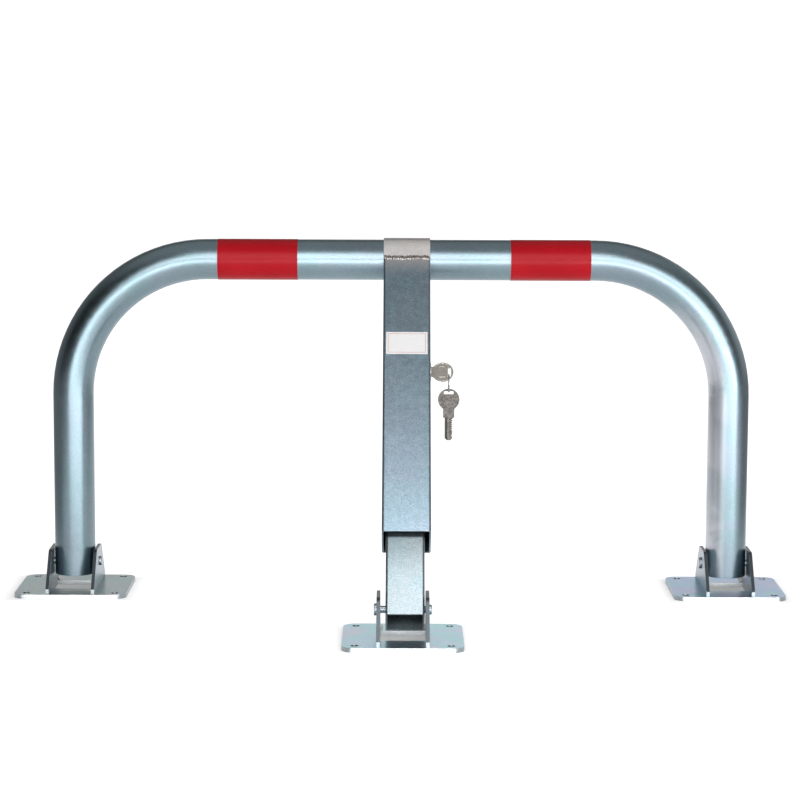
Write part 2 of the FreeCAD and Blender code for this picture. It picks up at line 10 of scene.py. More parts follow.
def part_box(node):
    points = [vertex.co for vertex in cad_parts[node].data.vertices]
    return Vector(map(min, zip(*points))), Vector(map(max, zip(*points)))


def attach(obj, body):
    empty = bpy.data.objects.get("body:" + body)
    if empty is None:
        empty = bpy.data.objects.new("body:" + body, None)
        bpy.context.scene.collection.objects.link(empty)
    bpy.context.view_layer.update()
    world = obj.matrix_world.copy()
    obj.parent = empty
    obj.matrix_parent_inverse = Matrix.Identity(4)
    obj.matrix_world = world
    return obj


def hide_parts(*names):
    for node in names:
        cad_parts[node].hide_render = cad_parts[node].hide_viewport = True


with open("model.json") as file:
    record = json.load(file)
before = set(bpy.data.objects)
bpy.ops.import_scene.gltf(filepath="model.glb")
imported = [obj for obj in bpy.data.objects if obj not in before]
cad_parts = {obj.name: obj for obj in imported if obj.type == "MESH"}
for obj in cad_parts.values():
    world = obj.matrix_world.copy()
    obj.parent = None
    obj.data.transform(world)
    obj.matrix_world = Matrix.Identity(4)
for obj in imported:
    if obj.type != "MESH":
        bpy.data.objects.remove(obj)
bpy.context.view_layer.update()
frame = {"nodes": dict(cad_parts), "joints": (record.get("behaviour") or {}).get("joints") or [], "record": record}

# ---- places worked out from the frame -----------------------------------------------------------

JOINTS = {joint["name"]: joint for joint in frame["joints"]}
BAR_AXIS = Vector(JOINTS["strut_swivel"]["pos_m"])
LOCK_FACE = Vector(JOINTS["key_turn"]["pos_m"])
RING_LOW = Vector(JOINTS["spare_key_swing"]["pos_m"])
STRUT_DOWN = (LOCK_FACE - BAR_AXIS)
STRUT_DOWN.x = 0
STRUT_DOWN.normalize()
STRUT_FRONT = Vector((0, STRUT_DOWN.z, -STRUT_DOWN.y))
# the weld seam's distance down the strut and the sleeve's front face out from the strut's middle, in metres
SEAM_DISTANCE = 0.0145
SLEEVE_FRONT = 0.02635


def on_strut(across, front, down):
    """A point given in metres across the strut, out of its front face and down from the bar's axis."""
    return BAR_AXIS + Vector((across, 0, 0)) + STRUT_FRONT * front + STRUT_DOWN * down


# ---- camera, light and floor --------------------------------------------------------------------

LENS = 116.0
SENSOR = 36.0
EYE = (-0.0039, -2.9293, 0.6146)
PITCH, YAW, ROLL = (math.radians(angle) for angle in (7.11, 0.05, 0.23))
# each glow of the sky: its direction, where it starts and is full, as cosines, and its radiance
SKY = [
    ((0, 1, 0), 0.82, 0.978, 1.0),
    ((0.8, 0.6, 0), 0.6, 0.95, 0.6),
    ((-0.8, 0.6, 0), 0.6, 0.95, 0.25),
    ((0, 0, 1), 0.5, 0.95, 0.52),
    ((1, 0, 0), 0.0, 0.8, 0.12),
]
# each softbox: name, place, what it faces, width, height, radiance and colour
SOFTBOXES = [
    ("front_softbox", (0.8, -2.7, 1.28), (0.8, 0, 1.28), 4.0, 0.98, 5.1, (1.0, 0.995, 0.98)),
    ("low_left_softbox", (-0.45, -2.2, 0.18), (-0.45, 0, 0.18), 1.5, 0.36, 7.6, (0.97, 0.99, 1.0)),
    ("low_right_softbox", (0.85, -2.2, 0.18), (0.85, 0, 0.18), 1.1, 0.36, 9.3, (1.0, 1.0, 1.0)),
    ("low_far_softbox", (2.1, -2.2, 0.18), (2.1, 0, 0.18), 1.4, 0.36, 15.0, (0.97, 0.99, 1.0)),
    ("overhead_softbox", (0.02, -0.58, 0.85), (0.02, -0.579, 0), 0.75, 0.2, 6.6, (0.98, 0.99, 1.0)),
    ("overhead_rear_softbox", (0.02, -0.36, 0.85), (0.02, -0.359, 0), 0.75, 0.2, 1.0, (1.0, 0.99, 0.98)),
]
# the floor's glow: on the white sheet near the object and far behind it, on the wide sheet in front,
# and round both of them
GLOW_NEAR = 0.46
GLOW_FAR = 0.85
GLOW_FRONT = 1.4
GLOW_ROUND = 0.15
FLOOR_HALF = 30.0
# half the narrow sheet's least width, how it widens with distance, and the middle of each sheet across
SHEET_HALF = 0.58
SHEET_HALF_AT_ZERO = 0.52
SHEET_WIDENING = 0.155
SHEET_MIDDLE = 0.05
WIDE_MIDDLE = 0.33
# how much of the floor's colour is left under each plate, as painted shade
PAINTED_SHADE_UNDER_PLATE = {"left": 0.5, "right": 0.5, "centre": 0.9}


def make_camera():
    data = bpy.data.cameras.new("camera")
    data.lens = LENS
    data.sensor_width = SENSOR
    camera = bpy.data.objects.new("camera", data)
    bpy.context.scene.collection.objects.link(camera)
    forward = Vector((math.sin(YAW) * math.cos(PITCH), math.cos(YAW) * math.cos(PITCH), -math.sin(PITCH)))
    level = Vector((math.cos(YAW), -math.sin(YAW), 0))
    above = level.cross(forward)
    right = level * math.cos(ROLL) + above * math.sin(ROLL)
    up = above * math.cos(ROLL) - level * math.sin(ROLL)
    turn = Matrix((right, up, -forward)).transposed().to_4x4()
    camera.matrix_world = Matrix.Translation(EYE) @ turn
    bpy.context.scene.camera = camera


def make_softbox(name, place, aim, width, height, radiance, colour):
    data = bpy.data.lights.new(name, "AREA")
    data.shape = "RECTANGLE"
    data.size = width
    data.size_y = height
    data.energy = radiance * math.pi * width * height
    data.color = colour
    light = bpy.data.objects.new(name, data)
    bpy.context.scene.collection.objects.link(light)
    light.location = place
    light.rotation_euler = (Vector(aim) - Vector(place)).to_track_quat("-Z", "Y").to_euler()


class Nodes:
    """A short way to write a node tree."""

    def __init__(self, tree):
        self.tree = tree
        tree.nodes.clear()

    def add(self, kind, **settings):
        node = self.tree.nodes.new(kind)
        for name, setting in settings.items():
            setattr(node, name, setting)
        return node

    def put(self, target, source):
        """Link an output to an input, or set the input to a value."""
        if isinstance(source, bpy.types.NodeSocket):
            self.tree.links.new(source, target)
        else:
            target.default_value = source

    def math(self, operation, first, second=0.0, third=0.0, clamp=False):
        node = self.add("ShaderNodeMath", operation=operation, use_clamp=clamp)
        for socket, source in zip(node.inputs, (first, second, third)):
            self.put(socket, source)
        return node.outputs[0]

    def dot(self, vector, direction):
        node = self.add("ShaderNodeVectorMath", operation="DOT_PRODUCT")
        self.put(node.inputs[0], vector)
        self.put(node.inputs[1], direction)
        return node.outputs["Value"]

    def place(self):
        return self.add("ShaderNodeTexCoord").outputs["Object"]

    def stretched(self, vector, scale):
        node = self.add("ShaderNodeMapping")
        self.put(node.inputs["Vector"], vector)
        self.put(node.inputs["Scale"], scale)
        return node.outputs[0]

    def noise(self, vector, scale, detail=2.0, roughness=0.5, distortion=0.0):
        node = self.add("ShaderNodeTexNoise")
        self.put(node.inputs["Vector"], vector)
        self.put(node.inputs["Scale"], scale)
        self.put(node.inputs["Detail"], detail)
        self.put(node.inputs["Roughness"], roughness)
        self.put(node.inputs["Distortion"], distortion)
        return node.outputs["Fac"]

    def ramp(self, factor, stops):
        node = self.add("ShaderNodeValToRGB")
        elements = node.color_ramp.elements
        while len(elements) < len(stops):
            elements.new(0.5)
        for element, (position, colour) in zip(elements, stops):
            element.position = position
            element.color = (*colour, 1.0)
        self.put(node.inputs[0], factor)
        return node.outputs[0]

    def spread(self, factor, low, high, to_low=0.0, to_high=1.0, smooth=True):
        node = self.add("ShaderNodeMapRange", clamp=True)
        node.interpolation_type = "SMOOTHSTEP" if smooth else "LINEAR"
        for name, source in (("Value", factor), ("From Min", low), ("From Max", high),
                             ("To Min", to_low), ("To Max", to_high)):
            self.put(node.inputs[name], source)
        return node.outputs[0]

    def mix(self, factor, first, second, blend="MIX"):
        node = self.add("ShaderNodeMix", data_type="RGBA", blend_type=blend)
        self.put(node.inputs[0], factor)
        for socket, source in ((node.inputs[6], first), (node.inputs[7], second)):
            if not isinstance(source, bpy.types.NodeSocket):
                source = (*source, 1.0)
            self.put(socket, source)
        return node.outputs[2]

    def scaled(self, colour, factor):
        """A colour times a grey level."""
        node = self.add("ShaderNodeVectorMath", operation="SCALE")
        self.put(node.inputs[0], colour)
        self.put(node.inputs["Scale"], factor)
        return node.outputs[0]


def new_material(name):
    material = bpy.data.materials.new(name)
    material.use_nodes = True
    nodes = Nodes(material.node_tree)
    shader = nodes.add("ShaderNodeBsdfPrincipled")
    output = nodes.add("ShaderNodeOutputMaterial")
    nodes.put(output.inputs["Surface"], shader.outputs[0])
    return material, nodes, shader


def far_from(nodes, coordinate, middle):
    return nodes.math("ABSOLUTE", nodes.math("SUBTRACT", coordinate, middle))


def floor_glow(nodes, across, along):
    """The floor's own light, which the camera sees as white, and how much a point lies on the narrow sheet."""
    reach = nodes.math("MULTIPLY_ADD", along, SHEET_WIDENING, SHEET_HALF_AT_ZERO)
    reach = nodes.math("MAXIMUM", SHEET_HALF, reach)
    off_sheet = nodes.math("SUBTRACT", far_from(nodes, across, SHEET_MIDDLE), reach)
    sheet = nodes.spread(off_sheet, 0.0, 0.3, 1.0, 0.0)
    glow = nodes.spread(along, -0.8, 1.0, GLOW_NEAR, GLOW_FAR)
    level = nodes.math("MULTIPLY_ADD", sheet, nodes.math("SUBTRACT", glow, GLOW_ROUND), GLOW_ROUND)
    wide = nodes.spread(far_from(nodes, across, WIDE_MIDDLE), 1.15, 1.45, 1.0, 0.0)
    wide = nodes.math("MULTIPLY", wide, nodes.spread(along, -0.2, 0.05, 1.0, 0.0))
    wide = nodes.math("MULTIPLY", wide, nodes.spread(along, -2.6, -1.6, 0.2, 1.0))
    beside = nodes.spread(nodes.math("ABSOLUTE", across), 0.5, 0.75)
    before = nodes.spread(along, -1.05, -0.8, 1.0, 0.0)
    wide = nodes.math("MULTIPLY", wide, nodes.math("MAXIMUM", beside, before))
    return nodes.math("MAXIMUM", level, nodes.math("MULTIPLY", wide, GLOW_FRONT)), sheet


def make_floor():
    """A pale floor, white round the object, with soft grey painted shade under and close round each foot."""
    mesh = bpy.data.meshes.new("floor")
    corners = [(x * FLOOR_HALF, y * FLOOR_HALF, 0) for x, y in ((-1, -1), (1, -1), (1, 1), (-1, 1))]
    mesh.from_pydata(corners, [], [(0, 1, 2, 3)])
    floor = bpy.data.objects.new("floor", mesh)
    bpy.context.scene.collection.objects.link(floor)
    material, nodes, shader = new_material("pale_floor")
    place = nodes.place()
    parts = nodes.add("ShaderNodeSeparateXYZ")
    nodes.put(parts.inputs[0], place)
    across, along = parts.outputs["X"], parts.outputs["Y"]
    level, sheet = floor_glow(nodes, across, along)
    painted_shade_under_plates = 1.0
    for foot, under in PAINTED_SHADE_UNDER_PLATE.items():
        low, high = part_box(foot + "_base_plate")
        middle = (low + high) / 2
        half_size = (high - low) / 2
        beyond = nodes.math("MAXIMUM", nodes.math("SUBTRACT", far_from(nodes, across, middle.x), half_size.x),
                            nodes.math("SUBTRACT", far_from(nodes, along, middle.y), half_size.y))
        # painted shade: the floor's colour darkens under each plate, and its glow drops close round each foot as a
        # painted shadow
        painted_shade_under_plates = nodes.math("MULTIPLY", nodes.spread(beyond, -0.02, -0.005, under, 1.0), painted_shade_under_plates)
        level = nodes.math("MULTIPLY", level, nodes.spread(beyond, -0.012, 0.03, 0.4, 1.0))
    grain = nodes.spread(nodes.noise(place, 60.0, 4.0), 0.3, 0.7, 0.985, 1.0)
    level = nodes.math("MULTIPLY", level, grain)
    pale = nodes.ramp(sheet, [(0.0, (0.45, 0.45, 0.45)), (1.0, (0.79, 0.79, 0.79))])
    nodes.put(shader.inputs["Base Color"], nodes.scaled(pale, nodes.math("MULTIPLY", grain, painted_shade_under_plates)))
    nodes.put(shader.inputs["Emission Color"], nodes.scaled((1, 1, 1), level))
    shader.inputs["Emission Strength"].default_value = 1.0
    shader.inputs["Roughness"].default_value = 0.85
    shader.inputs["Specular IOR Level"].default_value = 0.15
    mesh.materials.append(material)


def make_world():
    """A studio: white behind the object, with a dimmer glow from above and from each side."""
    world = bpy.data.worlds.new("studio")
    world.use_nodes = True
    nodes = Nodes(world.node_tree)
    background = nodes.add("ShaderNodeBackground")
    output = nodes.add("ShaderNodeOutputWorld")
    direction = nodes.add("ShaderNodeTexCoord").outputs["Generated"]
    total = 0.0
    for axis, start, end, radiance in SKY:
        glow = nodes.spread(nodes.dot(direction, axis), start, end, 0.0, radiance)
        total = nodes.math("ADD", glow, total)
    nodes.put(background.inputs["Color"], nodes.scaled((1, 1, 1), total))
    nodes.put(output.inputs["Surface"], background.outputs[0])
    bpy.context.scene.world = world


# ---- materials ----------------------------------------------------------------------------------

def worn_edges(nodes, radius):
    """How much a point lies on an edge, from 0 to 1, and the rounded normal there."""
    bevel = nodes.add("ShaderNodeBevel", samples=4)
    bevel.inputs["Radius"].default_value = radius
    flat = nodes.add("ShaderNodeNewGeometry").outputs["Normal"]
    agree = nodes.dot(bevel.outputs[0], flat)
    return nodes.spread(agree, 0.995, 0.93), bevel.outputs[0]


def zinc(name, base, warm, cool, roughness=0.33, grain=0.16, grain_size=0.0014, blotch=0.5,
         edge=0.35, edge_radius=0.0005, depth=0.00004, heat=None, painted_shade=None, cut=None, left_flank_reflection=None):
    """Blue-passivated zinc plate: a fine speckle, broad teal and lavender patches and brighter worn edges.

    heat is a colour burnt in below the weld seam, the two distances down the strut where it starts and ends
    to fade, and its strength. painted_shade is two distances down the strut, with a darker level of painted shade
    before the first.
    cut is the axis across the sheet, the colour of its cut edges and the colour of those that face the front, a
    painted highlight.
    left_flank_reflection is a painted reflection, a pale colour on the left side of what lies to the right, and
    where it starts and is full.
    """
    material, nodes, shader = new_material(name)
    place = nodes.place()
    speckle = nodes.noise(place, 1.0 / grain_size, 3.0, 0.7)
    coarse = nodes.noise(place, 0.22 / grain_size, 3.0, 0.6)
    patches = nodes.noise(place, 21.0, 4.0, 0.55, 0.8)
    clouds = nodes.noise(place, 6.5, 2.0, 0.5, 0.4)
    tint = nodes.ramp(patches, [(0.40, cool), (0.5, base), (0.60, warm)])
    colour = nodes.mix(blotch, base, tint)
    level = nodes.spread(speckle, 0.35, 0.65, 1.0 - grain, 1.0 + grain, smooth=False)
    soft_grain = grain * 0.3
    level = nodes.math("MULTIPLY", level, nodes.spread(coarse, 0.3, 0.7, 1.0 - soft_grain, 1.0 + soft_grain))
    level = nodes.math("MULTIPLY", level, nodes.spread(clouds, 0.35, 0.65, 0.95, 1.05))
    down = nodes.dot(place, tuple(STRUT_DOWN))
    start = BAR_AXIS.dot(STRUT_DOWN)
    # painted shade: darker before the first distance down the strut
    if painted_shade:
        first, last, shade = painted_shade
        level = nodes.math("MULTIPLY", level, nodes.spread(down, start + first, start + last, shade, 1.0))
    if cut:
        axis, cut_colour, front_highlight_colour = cut
        facing = nodes.add("ShaderNodeNewGeometry").outputs["True Normal"]
        on_cut = nodes.spread(nodes.math("ABSOLUTE", nodes.dot(facing, axis)), 0.4, 0.6, 1.0, 0.0)
        # painted highlight: cut edges that face the front take the bright front colour
        ends = nodes.spread(nodes.dot(facing, (0, -1, 0)), 0.93, 0.97)
        colour = nodes.mix(on_cut, colour, nodes.mix(ends, cut_colour, front_highlight_colour))
    colour = nodes.scaled(colour, level)
    if heat:
        burnt_colour, first, last, strength = heat
        wavy = nodes.math("MULTIPLY_ADD", patches, 0.018, down)
        burnt = nodes.spread(wavy, start + first, start + last, strength, 0.0)
        colour = nodes.mix(burnt, colour, burnt_colour)
    # painted reflection: a pale colour on left-facing sides from a given distance across
    if left_flank_reflection:
        pale, full = left_flank_reflection
        across = nodes.dot(place, (1, 0, 0))
        leftward = nodes.dot(nodes.add("ShaderNodeNewGeometry").outputs["Normal"], (-1, 0, 0))
        painted_reflection = nodes.math("MULTIPLY", nodes.spread(across, *full), nodes.spread(leftward, 0.1, 0.6))
        painted_reflection = nodes.math("MULTIPLY", painted_reflection, nodes.spread(patches, 0.3, 0.55, 0.6, 1.0))
        colour = nodes.mix(painted_reflection, colour, pale)
    mask, rounded = worn_edges(nodes, edge_radius)
    bright = nodes.math("MULTIPLY", mask, edge)
    colour = nodes.mix(bright, colour, (0.72, 0.76, 0.78))
    nodes.put(shader.inputs["Base Color"], colour)
    rough = nodes.spread(coarse, 0.3, 0.7, roughness - 0.02, roughness + 0.03)
    rough = nodes.math("MULTIPLY_ADD", mask, -0.06, rough)
    nodes.put(shader.inputs["Roughness"], rough)
    shader.inputs["Metallic"].default_value = 1.0
    bump = nodes.add("ShaderNodeBump")
    bump.inputs["Strength"].default_value = 0.3
    bump.inputs["Distance"].default_value = depth
    nodes.put(bump.inputs["Height"], nodes.math("MULTIPLY_ADD", coarse, 0.3, speckle))
    nodes.put(bump.inputs["Normal"], rounded)
    nodes.put(shader.inputs["Normal"], bump.outputs[0])
    return material


def plated(name, base, dull, roughness=0.3, wear=0.5, shaded=False):
    """Small plated steel or nickel pieces: handling marks, fine scratches and bright rubbed edges.

    shaded pieces carry a grey level for each of their plates in the mesh attribute "shade".
    """
    material, nodes, shader = new_material(name)
    place = nodes.place()
    stains = nodes.noise(place, 330.0, 3.0, 0.6, 0.3)
    marks = nodes.noise(nodes.stretched(place, (1, 1, 7)), 1500.0, 3.0, 0.7)
    colour = nodes.mix(nodes.spread(stains, 0.4, 0.65), base, dull)
    colour = nodes.scaled(colour, nodes.spread(marks, 0.3, 0.7, 0.86, 1.14, smooth=False))
    if shaded:
        shade = nodes.add("ShaderNodeAttribute", attribute_name="shade").outputs["Fac"]
        colour = nodes.scaled(colour, shade)
    mask, rounded = worn_edges(nodes, 0.00025)
    colour = nodes.mix(nodes.math("MULTIPLY", mask, wear), colour, (0.82, 0.80, 0.76))
    nodes.put(shader.inputs["Base Color"], colour)
    nodes.put(shader.inputs["Roughness"], nodes.spread(stains, 0.3, 0.7, roughness - 0.06, roughness + 0.1))
    shader.inputs["Metallic"].default_value = 1.0
    bump = nodes.add("ShaderNodeBump")
    bump.inputs["Strength"].default_value = 0.3
    bump.inputs["Distance"].default_value = 0.00006
    nodes.put(bump.inputs["Height"], nodes.math("ADD", marks, stains))
    nodes.put(bump.inputs["Normal"], rounded)
    nodes.put(shader.inputs["Normal"], bump.outputs[0])
    return material


def weld_metal(name):
    """A weld bead under the plating: brown-grey, with bright spatter."""
    material, nodes, shader = new_material(name)
    place = nodes.place()
    scale = nodes.noise(place, 420.0, 4.0, 0.65)
    browns = [(0.34, (0.14, 0.12, 0.11)), (0.52, (0.32, 0.295, 0.28)), (0.7, (0.50, 0.47, 0.45))]
    colour = nodes.ramp(scale, browns)
    nodes.put(shader.inputs["Base Color"], colour)
    nodes.put(shader.inputs["Roughness"], nodes.spread(scale, 0.3, 0.7, 0.45, 0.30))
    shader.inputs["Metallic"].default_value = 1.0
    bump = nodes.add("ShaderNodeBump")
    bump.inputs["Strength"].default_value = 0.5
    bump.inputs["Distance"].default_value = 0.0003
    nodes.put(bump.inputs["Height"], scale)
    nodes.put(shader.inputs["Normal"], bump.outputs[0])
    return material


def red_film(name):
    """Saturated red self-adhesive film: a slight orange peel, faint scuffs and a soft gloss."""
    material, nodes, shader = new_material(name)
    place = nodes.place()
    peel = nodes.noise(place, 420.0, 3.0, 0.5)
    scuff = nodes.noise(nodes.stretched(place, (0.4, 3, 3)), 130.0, 4.0, 0.65, 0.4)
    fade = nodes.noise(place, 17.0, 2.0)
    colour = nodes.ramp(fade, [(0.35, (0.25, 0.002, 0.006)), (0.65, (0.285, 0.003, 0.008))])
    colour = nodes.mix(nodes.spread(scuff, 0.62, 0.75, 0.0, 0.2), colour, (0.36, 0.03, 0.03))
    nodes.put(shader.inputs["Base Color"], colour)
    nodes.put(shader.inputs["Roughness"], nodes.spread(scuff, 0.3, 0.7, 0.26, 0.36))
    shader.inputs["Specular IOR Level"].default_value = 0.11
    bump = nodes.add("ShaderNodeBump")
    bump.inputs["Strength"].default_value = 0.12
    bump.inputs["Distance"].default_value = 0.0001
    nodes.put(bump.inputs["Height"], peel)
    nodes.put(shader.inputs["Normal"], bump.outputs[0])
    return material


def label_film(name, centre, half_width, half_height):
    """Blank white film with a thin pale red frame just inside its edge."""
    material, nodes, shader = new_material(name)
    place = nodes.place()
    shift = nodes.add("ShaderNodeVectorMath", operation="SUBTRACT")
    nodes.put(shift.inputs[0], place)
    shift.inputs[1].default_value = centre
    across = nodes.math("ABSOLUTE", nodes.dot(shift.outputs[0], (1, 0, 0)))
    along = nodes.math("ABSOLUTE", nodes.dot(shift.outputs[0], tuple(STRUT_DOWN)))
    inset = 0.0024
    line = 0.00045
    outside = nodes.math("MAXIMUM", nodes.math("SUBTRACT", across, half_width - inset),
                         nodes.math("SUBTRACT", along, half_height - inset))
    frame_line = nodes.spread(nodes.math("ABSOLUTE", outside), line, line * 0.4)
    fibre = nodes.noise(place, 500.0, 3.0)
    paper = nodes.ramp(fibre, [(0.3, (0.50, 0.495, 0.495)), (0.7, (0.54, 0.535, 0.535))])
    nodes.put(shader.inputs["Base Color"], nodes.mix(frame_line, paper, (0.44, 0.20, 0.22)))
    nodes.put(shader.inputs["Roughness"], nodes.spread(fibre, 0.3, 0.7, 0.32, 0.42))
    bump = nodes.add("ShaderNodeBump")
    bump.inputs["Strength"].default_value = 0.1
    bump.inputs["Distance"].default_value = 0.00005
    nodes.put(bump.inputs["Height"], fibre)
    nodes.put(shader.inputs["Normal"], bump.outputs[0])
    return material


def dress(node, material):
    """Give a CAD node a material."""
    mesh = frame["nodes"][node].data
    mesh.materials.clear()
    mesh.materials.append(material)


# ---- pieces built here --------------------------------------------------------------------------

def add_piece(name, mesh, material, body, smooth=True):
    piece = bpy.data.objects.new(name, mesh)
    bpy.context.scene.collection.objects.link(piece)
    mesh.materials.append(material)
    for polygon in mesh.polygons:
        polygon.use_smooth = smooth
    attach(piece, body)
    return piece


BEAD_HALF_LENGTH = 0.0268
BEAD_HALF_WIDTH = 0.0033
BEAD_HEIGHT = 0.0017
BEAD_SINK = 0.0001


def weld_bead_mesh(name, front, seed):
    """A hand-laid bead along the seam: uneven overlapping drops with a few bright, high ones."""
    dice = random.Random(seed)
    along_steps = 220
    round_steps = 14
    drops = []
    across = -BEAD_HALF_LENGTH
    while across < BEAD_HALF_LENGTH:
        reach, size, shift = dice.uniform(0.0010, 0.0021), dice.uniform(0.5, 1.0), dice.uniform(-0.0006, 0.0007)
        drops.append((across, reach, size, shift))
        across += dice.uniform(0.0009, 0.0021)
    mesh = bmesh.new()
    rings = []
    for step in range(along_steps + 1):
        across = (2 * step / along_steps - 1) * BEAD_HALF_LENGTH
        height = 0.25
        wander = 0.0005 * math.sin(170 * across + seed)
        weight = 1.0
        for middle, reach, size, shift in drops:
            near = max(0.0, 1 - ((across - middle) / reach) ** 2)
            height = max(height, size * math.sqrt(near))
            wander += near * shift
            weight += near
        wander = wander / math.sqrt(weight)
        ring = []
        for turn in range(round_steps + 1):
            angle = math.pi * turn / round_steps
            down = SEAM_DISTANCE + wander + BEAD_HALF_WIDTH * (0.55 + 0.45 * height) * math.cos(angle)
            out = SLEEVE_FRONT - BEAD_SINK + BEAD_HEIGHT * height * math.sin(angle) ** 0.8
            ring.append(mesh.verts.new(on_strut(across, out * front, down)))
        rings.append(ring)
    for first, second in zip(rings, rings[1:]):
        for turn in range(round_steps):
            mesh.faces.new((first[turn], first[turn + 1], second[turn + 1], second[turn]))
        mesh.faces.new((first[round_steps], first[0], second[0], second[round_steps]))
    mesh.faces.new(rings[0])
    mesh.faces.new(rings[-1][::-1])
    bmesh.ops.recalc_face_normals(mesh, faces=mesh.faces)
    data = bpy.data.meshes.new(name)
    mesh.to_mesh(data)
    mesh.free()
    return data


# a key lies in its own flat frame, in metres: its shoulder plane at 0, its head at +x and its bitting at +y
HEAD_CENTRE = 0.0135
HEAD_RADIUS = 0.0125
HEAD_STEPS = 72
HALF_NECK = 0.0065
NECK_END = -0.0079
HALF_BLADE = 0.0046
TIP = -0.0343
HALF_KEY = 0.00115
SLOT_X = (0.0196, 0.0233)
HALF_SLOT = 0.00575


def arc(x, y, radius, start, end, steps):
    turns = [math.radians(start + (end - start) * step / steps) for step in range(steps + 1)]
    return [(x + radius * math.cos(turn), y + radius * math.sin(turn)) for turn in turns]


def rounded_box(low, high, radius):
    points = []
    corners = ((high[0], high[1], 0), (low[0], high[1], 90), (low[0], low[1], 180), (high[0], low[1], 270))
    for x, y, start in corners:
        inward_x = x - radius if x == high[0] else x + radius
        inward_y = y - radius if y == high[1] else y + radius
        points += arc(inward_x, inward_y, radius, start, start + 90, 5)
    return points


def bitting_outline(seed):
    """The blade's outline, with its cuts along +y and a blunt point at the far end."""
    dice = random.Random(seed)
    points = [(NECK_END + 0.001, HALF_BLADE)]
    x = NECK_END - 0.0012
    while x > TIP + 0.0042:
        depth = dice.uniform(0.0005, 0.0019)
        points += [(x, HALF_BLADE), (x - 0.0007, HALF_BLADE - depth), (x - 0.0012, HALF_BLADE - depth),
                   (x - 0.0019, HALF_BLADE)]
        x -= 0.0024
    points += [(TIP + 0.0016, HALF_BLADE - 0.0008), (TIP, 0.0016), (TIP, -0.0016)]
    points += [(TIP + 0.0018, -HALF_BLADE + 0.0007), (TIP + 0.0032, -HALF_BLADE)]
    points.append((NECK_END + 0.001, -HALF_BLADE))
    return points


def head_outline():
    """Round head and square neck in one line, with a small hollow where they meet."""
    meet = math.degrees(math.asin(0.0078 / HEAD_RADIUS))
    points = arc(HEAD_CENTRE, 0, HEAD_RADIUS, -180 + meet, 180 - meet, HEAD_STEPS)
    end_x, end_y = points[-1]
    for step in range(1, 6):
        part = step / 5
        x = (1 - part) ** 2 * end_x + 2 * part * (1 - part) * 0.0026 + part ** 2 * 0.0006
        y = (1 - part) ** 2 * end_y + 2 * part * (1 - part) * HALF_NECK + part ** 2 * HALF_NECK
        points.append((x, y))
    points += arc(NECK_END + 0.0006, HALF_NECK - 0.0006, 0.0006, 90, 180, 4)
    neck = points[HEAD_STEPS + 1:]
    return points + [(x, -y) for x, y in neck[::-1]]


def flat_plate(mesh, outlines, half_thickness, bevel, frame_matrix, shade):
    """Add to mesh a flat plate with bevelled rims, cut to the first outline, with the second one as a hole."""
    curve = bpy.data.curves.new("outline", "CURVE")
    curve.dimensions = "2D"
    curve.fill_mode = "BOTH"
    curve.extrude = half_thickness - bevel
    curve.bevel_depth = bevel
    curve.bevel_resolution = 2
    curve.offset = -bevel
    for outline in outlines:
        spline = curve.splines.new("POLY")
        spline.points.add(len(outline) - 1)
        for spline_point, (x, y) in zip(spline.points, outline):
            spline_point.co = (x, y, 0, 1)
        spline.use_cyclic_u = True
    stand_in = bpy.data.objects.new("outline", curve)
    bpy.context.scene.collection.objects.link(stand_in)
    solid = bpy.data.meshes.new_from_object(stand_in.evaluated_get(bpy.context.evaluated_depsgraph_get()))
    bpy.data.objects.remove(stand_in)
    bpy.data.curves.remove(curve)
    solid.transform(frame_matrix)
    layer = mesh.verts.layers.float["shade"]
    old_count = len(mesh.verts)
    mesh.from_mesh(solid)
    mesh.verts.ensure_lookup_table()
    for vertex in mesh.verts[old_count:]:
        vertex[layer] = shade
    bpy.data.meshes.remove(solid)


